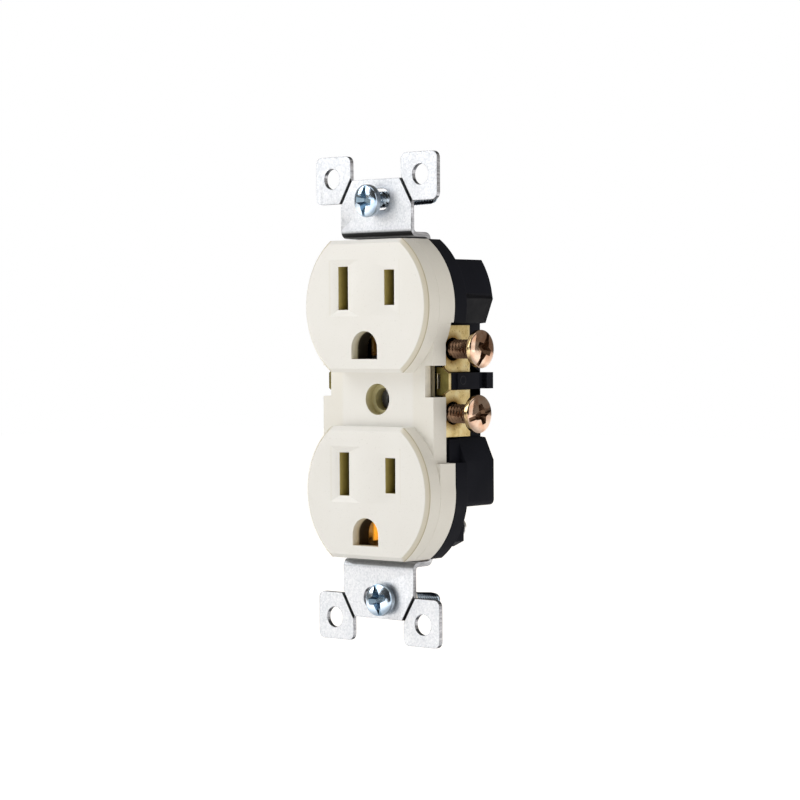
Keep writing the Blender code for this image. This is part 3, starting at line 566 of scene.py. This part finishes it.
def under_bend(at, normal):
    return BEND_Y[0] < at.y < BEND_Y[1] and abs(at.z) > BEND_FROM_Z and abs(normal.y) < 0.93


# ---- moulded and stamped pieces ----
NOTCH_WALL = 0.8               # thickness of the cover's wall behind each fin notch
NOTCH_WALL_X = (-12.98, 12.18)
NOTCH_WALL_Y = (0.2, 2.4)
NOTCH_WALL_Z = (0.57, 7.03)

notch_walls = [block_mesh((x, NOTCH_WALL_Y[0], NOTCH_WALL_Z[0]),
                          (x + NOTCH_WALL, NOTCH_WALL_Y[1], NOTCH_WALL_Z[1]))
               for x in NOTCH_WALL_X]
cover = rounded_copy("front_cover", IVORY, "outlet", 0.18, notch_walls, BAR_Y)
paint_faces(cover.data, SLOT_SHADE, in_blade_slot)
paint_faces(cover.data, GROUND_SHADE, in_ground_hole)
paint_faces(cover.data, SEAT_SHADE, in_screw_seat)
paint_faces(cover.data, NOTCH_SHADE, in_fin_notch)
rounded_copy("rear_body", BLACK, "outlet", 0.22)
strap = rounded_copy("mounting_strap", ZINC, "outlet", 0.16)
# Painted shade under the bends and on the slanted cut edges, painted light on the upright ones.
paint_faces(strap.data, BEND_SHADE, under_bend)
paint_faces(strap.data, SHADED_SLANT_EDGE, on_slanted_edge)
paint_faces(strap.data, LIT_CUT_EDGE, on_sheared_edge)
for node in ("hot_terminal_strip", "neutral_terminal_strip"):
    strip = rounded_copy(node, BRASS, "outlet", 0.09)
    # The fin fronts take painted shade.
    paint_faces(strip.data, SHADED_FIN_BRASS, on_fin_front)
    # The fin windows take a painted glint.
    paint_faces(strip.data, GLINT_BRASS, in_fin_window)
# Painted glow on the ground contacts.
rounded_copy("ground_contact_upper", FAINT_GLOW_BRASS, "outlet", 0.07)
rounded_copy("ground_contact_lower", GLOWING_BRASS, "outlet", 0.07)


# ---- screws ----
# A thread is its minor radius, major radius and pitch. A head is its radius, rim and height.
RINGS_PER_PITCH = 8
TIP_LENGTH = 0.7
CREST_SLOPE = 1.25             # how fast the thread falls away from its crest


def unit_frame(outward, along, origin):
    """A matrix with +Z along outward, +X as near to along as it can be, placed at origin."""
    z = Vector(outward).normalized()
    x = Vector(along)
    x = (x - z * x.dot(z)).normalized()
    y = z.cross(x)
    place = [c * MM for c in origin]
    return Matrix([[x[i], y[i], z[i], place[i]] for i in range(3)] + [[0, 0, 0, 1]])


def ring_mesh(name, rings):
    """A closed skin through rings of points, with a middle point at each end."""
    bm = bmesh.new()
    rows = [[bm.verts.new([c * MM for c in point]) for point in ring] for ring in rings]
    count = len(rings[0])
    for upper, lower in zip(rows, rows[1:]):
        for i in range(count):
            j = (i + 1) % count
            bm.faces.new((upper[i], lower[i], lower[j], upper[j]))
    for row, flip in ((rows[0], False), (rows[-1], True)):
        centre = sum((v.co for v in row), Vector()) / count
        middle = bm.verts.new(centre)
        for i in range(count):
            pair = (row[i], row[(i + 1) % count])
            bm.faces.new((middle, *(reversed(pair) if flip else pair)))
    bmesh.ops.recalc_face_normals(bm, faces=bm.faces)
    mesh = bpy.data.meshes.new(name)
    bm.to_mesh(mesh)
    bm.free()
    return mesh


def circle_ring(radius, height, count):
    turns = (2 * math.pi * i / count for i in range(count))
    return [(radius * math.cos(a), radius * math.sin(a), height) for a in turns]


def thread_ring(height, count, minor, major, pitch, depth_share):
    """One ring of a helical thread; depth_share fades the thread in and out."""
    points = []
    for i in range(count):
        turn = i / count
        phase = (height / pitch - turn) % 1.0
        crest = max(0.0, 1.0 - abs(2.0 * phase - 1.0) * CREST_SLOPE)
        radius = minor + (major - minor) * (crest * depth_share + (1.0 - depth_share) * 0.5)
        angle = 2 * math.pi * turn
        points.append((radius * math.cos(angle), radius * math.sin(angle), height))
    return points


def shank_rings(minor, major, pitch, length, count):
    """A threaded shank below height 0, with the thread fading at both ends."""
    rings = [circle_ring(major * 0.97, 0.0, count)]
    step = pitch / RINGS_PER_PITCH
    steps = int((length - TIP_LENGTH) / step)
    for i in range(1, steps):
        fade = min(1.0, i / 6, (steps - i) / 8)
        rings.append(thread_ring(-i * step, count, minor, major, pitch, fade))
    rings.append(circle_ring((minor + major) / 2, -length + TIP_LENGTH, count))
    rings.append(circle_ring(minor * 0.72, -length, count))
    return rings


def screw_mesh(name, head, minor, major, pitch, length, count=48):
    """Head rings from the middle of the top down, then a threaded shank and its tip."""
    rings = [circle_ring(radius, height, count) for radius, height in head]
    return ring_mesh(name, rings + shank_rings(minor, major, pitch, length, count))


def pan_head_rings(radius, rim, height, steps=9):
    """A domed head with a rolled rim and a slightly rounded underside edge."""
    rings = [(radius * math.sin(a), rim + (height - rim) * math.cos(a))
             for a in (math.radians(3 + 80 * i / steps) for i in range(steps + 1))]
    rings += [(radius, rim), (radius, 0.22), (radius - 0.05, 0.07), (radius - 0.2, 0.0)]
    return rings


def cross_ring(reach, width, flare, height):
    """A cross whose inner corners are flared, as a driver recess has."""
    half = width / 2
    points = []
    for quarter in range(4):
        angle = math.pi / 2 * quarter
        for u, v in ((reach, -half), (reach, half), (flare, flare)):
            points.append((u * math.cos(angle) - v * math.sin(angle),
                           u * math.sin(angle) + v * math.cos(angle), height))
    return points


def slot_mesh(length, width, top, depth):
    """A driver slot with a slightly narrower floor."""
    rings = []
    for height, share in ((top + 0.4, 1.0), (top - depth, 0.86)):
        x, y = length / 2, width / 2 * share
        rings.append([(x, y, height), (-x, y, height), (-x, -y, height), (x, -y, height)])
    return ring_mesh("slot", rings)


def recess_mesh(reach, width, top, depth):
    """A crossed driver recess that narrows towards its floor."""
    rings = [cross_ring(reach, width, width * 0.72, top + 0.4),
             cross_ring(reach, width, width * 0.72, top),
             cross_ring(reach * 0.48, width * 0.55, width * 0.36, top - depth)]
    return ring_mesh("recess", rings)


def below_dome(radius, rim, height):
    """Accepts the points of a pan head that lie in its recess, below the dome's skin."""
    def inside(at, normal):
        out = min(1.0, math.hypot(at.x, at.y) / radius)
        return 0.1 < at.z < rim + (height - rim) * math.sqrt(1 - out * out) - 0.12
    return inside


def make_screw(node, body, mats, mesh, cuts, place, recess, rim_radius, crease=40):
    """Cuts and paints a screw: mats are for its head, recess, shank and rim, and those for the recess,
    shank and rim may be darker copies that carry painted shade.
    """
    obj = bpy.data.objects.new(f"{node}_threaded", mesh)
    bpy.context.scene.collection.objects.link(obj)
    for cutter in cuts:
        combine(obj, cutter, "DIFFERENCE")
    mesh = obj.data
    only_material(mesh, mats[0])
    paint_faces(mesh, mats[1], recess)
    paint_faces(mesh, mats[2], lambda at, normal: at.z < 0.05)
    paint_faces(mesh, mats[3], lambda at, normal: at.z > 0.05 and abs(normal.z) < 0.3
                and math.hypot(at.x, at.y) > rim_radius)
    mesh.transform(place)
    smooth(mesh, crease)
    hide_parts(node)
    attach(obj, body)


# The recess, shank and rim finishes carry painted shade.
BRONZE_FINISH = (BRONZE, BRONZE_RECESS_SHADE, BRONZE_SHANK_SHADE, BRONZE_RIM_SHADE)
NICKEL_FINISH = (NICKEL, RECESS_SHADE, NICKEL, NICKEL)
TERMINAL_HEAD = (3.95, 0.95, 2.0)
TERMINAL_TOP = TERMINAL_HEAD[2]
TERMINAL_THREAD = (1.62, 2.05, 0.794)
TERMINAL_SHANK = 7.3
# Node, body, slot, finish, where the underside of the head is, and which way the slot runs.
TERMINAL_SCREWS = (
    ("hot_screw_upper", "upper_hot_screw", "bronze_screw", BRONZE_FINISH,
     (21.35, TERMINAL_Y, TERMINAL_Z), (0, 0.45, 0.89)),
    ("hot_screw_lower", "lower_hot_screw", "bronze_screw", BRONZE_FINISH,
     (20.65, TERMINAL_Y, LOWER_TERMINAL_Z - 0.1), (0, 0.95, 0.30)),
    ("neutral_screw_upper", "upper_neutral_screw", "nickel_screw", NICKEL_FINISH,
     (-15.85, TERMINAL_Y, TERMINAL_Z), (0, 0.8, 0.6)),
    ("neutral_screw_lower", "lower_neutral_screw", "nickel_screw", NICKEL_FINISH,
     (-15.85, TERMINAL_Y, LOWER_TERMINAL_Z), (0, 0.3, 0.95)),
)
for node, body, slot, mats, origin, along in TERMINAL_SCREWS:
    side = math.copysign(1, origin[0])
    skin = screw_mesh(node, pan_head_rings(*TERMINAL_HEAD), *TERMINAL_THREAD, TERMINAL_SHANK)
    cuts = (slot_mesh(9.0, 1.0, TERMINAL_TOP, 0.75), recess_mesh(2.3, 1.25, TERMINAL_TOP, 1.35))
    make_screw(node, body, mats, skin, cuts, unit_frame((side, 0, 0), along, origin),
               below_dome(*TERMINAL_HEAD), 3.85)

BOX_HEAD = (3.4, 1.2, 2.2)
BOX_TOP = BOX_HEAD[2]
BOX_THREAD = (1.33, 1.74, 0.794)
BOX_SHANK = 19.05
# Level, middle of the head's top, the tip, and which way the slot runs.
BOX_SCREWS = (
    ("upper", (-0.1, -5.0, 41.16), (1.9, 15.7, 43.0), (0.98, 0, 6.06)),
    ("lower", (1.92, -3.85, -41.6), (0.72, 17.3, -43.6), (-1.49, 0, 5.66)),
)
for level, face, tip, along in BOX_SCREWS:
    outward = (Vector(face) - Vector(tip)).normalized()
    skin = screw_mesh(f"box_{level}", pan_head_rings(*BOX_HEAD), *BOX_THREAD, BOX_SHANK)
    cuts = (slot_mesh(8.0, 0.95, BOX_TOP, 0.7), recess_mesh(2.35, 1.25, BOX_TOP, 1.5))
    make_screw(f"box_screw_{level}", f"{level}_box_screw",
               (BLUED, BLUED_RECESS_SHADE, BLUED_SHANK_SHADE, BLUED_RIM_SHADE), skin, cuts,
               unit_frame(outward, along, Vector(face) - outward * BOX_TOP),
               below_dome(*BOX_HEAD), 3.3)

ASSEMBLY_SCREWS = (("top", 0.0, 26.3), ("bottom_left", -6.6, -27.56), ("bottom_right", 6.6, -27.56))
ASSEMBLY_HEAD = (2.05, 0.5, 1.5)
ASSEMBLY_THREAD = (0.98, 1.25, 0.8)
ASSEMBLY_SHANK = 18.2
ASSEMBLY_SIDES = 32
ASSEMBLY_SEAT_Y = 17.2
for name, x, z in ASSEMBLY_SCREWS:
    skin = screw_mesh(name, pan_head_rings(*ASSEMBLY_HEAD), *ASSEMBLY_THREAD, ASSEMBLY_SHANK,
                      ASSEMBLY_SIDES)
    make_screw(f"assembly_screw_{name}", "outlet",
               (SILVER, RECESS_SHADE, SILVER, SILVER), skin,
               (recess_mesh(1.25, 0.6, ASSEMBLY_HEAD[2], 0.9),),
               unit_frame((0, 1, 0), (0.6, 0, 1.0 + x / 10), (x, ASSEMBLY_SEAT_Y, z)),
               below_dome(*ASSEMBLY_HEAD), 1.95)


def hexagon_ring(half_width, height, count):
    """A hexagon of that half width across its flats, with points at even angles."""
    points = []
    for i in range(count):
        angle = 2 * math.pi * i / count
        from_flat = (angle + math.pi / 6) % (math.pi / 3) - math.pi / 6
        reach = half_width / math.cos(from_flat)
        points.append((reach * math.cos(angle), reach * math.sin(angle), height))
    return points


HEXAGON = 3.17                 # half width of the ground screw's head across its flats
HEXAGON_TOP = 2.95
FLANGE_PROFILE = ((3.78, 0.72), (4.02, 0.5), (4.1, 0.3), (4.05, 0.08), (3.9, 0.0))
GROUND_SHANK = 7.0
GROUND_SEAT = (-17.2, 10.6, -28.5)
GROUND_CREASE = 15


def make_ground_screw():
    """A slotted hexagon on a round flange."""
    count = 48
    rings = [circle_ring(1.2, HEXAGON_TOP, count), circle_ring(2.6, 2.92, count),
             hexagon_ring(HEXAGON, 2.6, count), hexagon_ring(HEXAGON, 0.74, count)]
    rings += [circle_ring(radius, height, count) for radius, height in FLANGE_PROFILE]
    rings += shank_rings(*TERMINAL_THREAD, GROUND_SHANK, count)
    make_screw("ground_screw", "green_ground_screw",
               (GREEN, GREEN_RECESS_SHADE, GREEN, GREEN), ring_mesh("ground_screw", rings),
               (slot_mesh(9.0, 0.95, HEXAGON_TOP, 1.0),),
               unit_frame((-1, 0, 0), (0, 0.35, 0.94), GROUND_SEAT),
               lambda at, normal: 1.8 < at.z < 2.85 and abs(at.y) < 0.48, 3.9, GROUND_CREASE)


make_ground_screw()

NODE_LOOKS = {
    "ground_rivet_upper": SILVER,
    "ground_rivet_lower": SILVER,
    "screw_retainer_upper": FIBRE,
    "screw_retainer_lower": FIBRE,
}
for node, look in NODE_LOOKS.items():
    only_material(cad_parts[node].data, look)


# ---- studio ----
FLOOR_Z = -160.0
FLOOR_HALF = 3.0               # metres
COOL = (0.97, 0.985, 1.0)
WARM = (1.0, 0.985, 0.96)
# Name, azimuth and elevation in degrees, distance and size in metres, power in watts, colour.
LIGHTS = (
    ("key", -50, 33, 1.0, (0.8, 0.8), 6.8, COOL),
    ("low", -10, -2, 1.0, (0.7, 0.25), 0.8, COOL),
    ("right", 84, 20, 0.9, (0.8, 0.9), 2.5, WARM),
    ("top", 20, 80, 1.0, (0.9, 0.6), 1.2, WHITE),
)
WORLD_BRIGHT = 0.22
WORLD_DIM = 0.05


def add_floor():
    """A pale floor that gives off more light the further it is from the object."""
    bm = bmesh.new()
    bmesh.ops.create_grid(bm, x_segments=8, y_segments=8, size=FLOOR_HALF)
    mesh = bpy.data.meshes.new("studio_floor")
    bm.to_mesh(mesh)
    bm.free()
    floor = bpy.data.objects.new("studio_floor", mesh)
    floor.location.z = FLOOR_Z * MM
    bpy.context.scene.collection.objects.link(floor)
    n = Nodes("studio_floor")
    n.set(Specular_IOR_Level=0.1, Emission_Color=(1.0, 0.97, 0.93, 1.0))
    pale = n.ramp(n.noise(6.0, 2.0), ((0.3, (0.88, 0.88, 0.88)), (0.7, (0.90, 0.90, 0.90))))
    length = n.tree.nodes.new("ShaderNodeVectorMath")
    length.operation = "LENGTH"
    n.link(n.place, length.inputs[0])
    glow = n.spread(length.outputs["Value"], 0.04, 0.95, 0.16, 0.45)
    n.link(glow, n.shader.inputs["Emission Strength"])
    mesh.materials.append(n.finish(pale, n.spread(n.noise(40.0), 0.75, 0.9)))


def add_light(name, azimuth, elevation, distance, size, power, colour):
    """A soft box that points at the object; azimuth 0 is in front of it and 90 on its right."""
    data = bpy.data.lights.new(name, "AREA")
    data.shape = "RECTANGLE"
    data.size, data.size_y = size
    data.energy = power
    data.color = colour
    lamp = bpy.data.objects.new(name, data)
    az, el = math.radians(azimuth), math.radians(elevation)
    direction = Vector((math.sin(az) * math.cos(el), -math.cos(az) * math.cos(el), math.sin(el)))
    lamp.location = direction * distance
    lamp.rotation_euler = direction.to_track_quat("Z", "Y").to_euler()
    bpy.context.scene.collection.objects.link(lamp)


def add_world(bright, dim, dim_azimuth):
    """White to the eye; as light, bright all round but for a dim part at dim_azimuth."""
    world = bpy.data.worlds.new("studio")
    world.use_nodes = True
    tree = world.node_tree
    soft = tree.nodes["Background"]
    soft.inputs["Color"].default_value = (1.0, 0.93, 0.82, 1.0)
    toward = tree.nodes.new("ShaderNodeVectorMath")
    toward.operation = "DOT_PRODUCT"
    az = math.radians(dim_azimuth)
    toward.inputs[1].default_value = (math.sin(az), -math.cos(az), 0.1)
    tree.links.new(tree.nodes.new("ShaderNodeTexCoord").outputs["Generated"], toward.inputs[0])
    fade = tree.nodes.new("ShaderNodeMapRange")
    fade.interpolation_type = "SMOOTHSTEP"
    for name, value in (("From Min", 0.0), ("From Max", 0.9), ("To Min", bright), ("To Max", dim)):
        fade.inputs[name].default_value = value
    tree.links.new(toward.outputs["Value"], fade.inputs["Value"])
    tree.links.new(fade.outputs["Result"], soft.inputs["Strength"])
    seen = tree.nodes.new("ShaderNodeBackground")
    seen.inputs["Color"].default_value = (1.0, 1.0, 1.0, 1.0)
    path = tree.nodes.new("ShaderNodeLightPath")
    pick = tree.nodes.new("ShaderNodeMixShader")
    tree.links.new(path.outputs["Is Camera Ray"], pick.inputs["Fac"])
    tree.links.new(soft.outputs["Background"], pick.inputs[1])
    tree.links.new(seen.outputs["Background"], pick.inputs[2])
    tree.links.new(pick.outputs["Shader"], tree.nodes["World Output"].inputs["Surface"])
    bpy.context.scene.world = world


def add_camera():
    az, el, roll = (math.radians(a) for a in (CAMERA_AZIMUTH, CAMERA_ELEVATION, CAMERA_ROLL))
    right = Vector((math.cos(az), math.sin(az), 0))
    forward = Vector((-math.sin(az) * math.cos(el), math.cos(az) * math.cos(el), -math.sin(el)))
    up = right.cross(forward)
    side = right * math.cos(roll) + up * math.sin(roll)
    top = up * math.cos(roll) - right * math.sin(roll)
    place = (Vector(CAMERA_TARGET) - forward * CAMERA_DISTANCE) * MM
    data = bpy.data.cameras.new("camera")
    data.lens = CAMERA_LENS
    data.sensor_width = SENSOR_WIDTH
    data.clip_start = CLIP_START * MM
    camera = bpy.data.objects.new("camera", data)
    columns = (side, top, -forward)
    camera.matrix_world = Matrix([[*(c[i] for c in columns), place[i]] for i in range(3)]
                                 + [[0, 0, 0, 1]])
    bpy.context.scene.collection.objects.link(camera)
    bpy.context.scene.camera = camera


add_floor()
add_world(WORLD_BRIGHT, WORLD_DIM, CAMERA_AZIMUTH)
for light in LIGHTS:
    add_light(*light)
add_camera()
bpy.context.scene.view_settings.view_transform = "Standard"
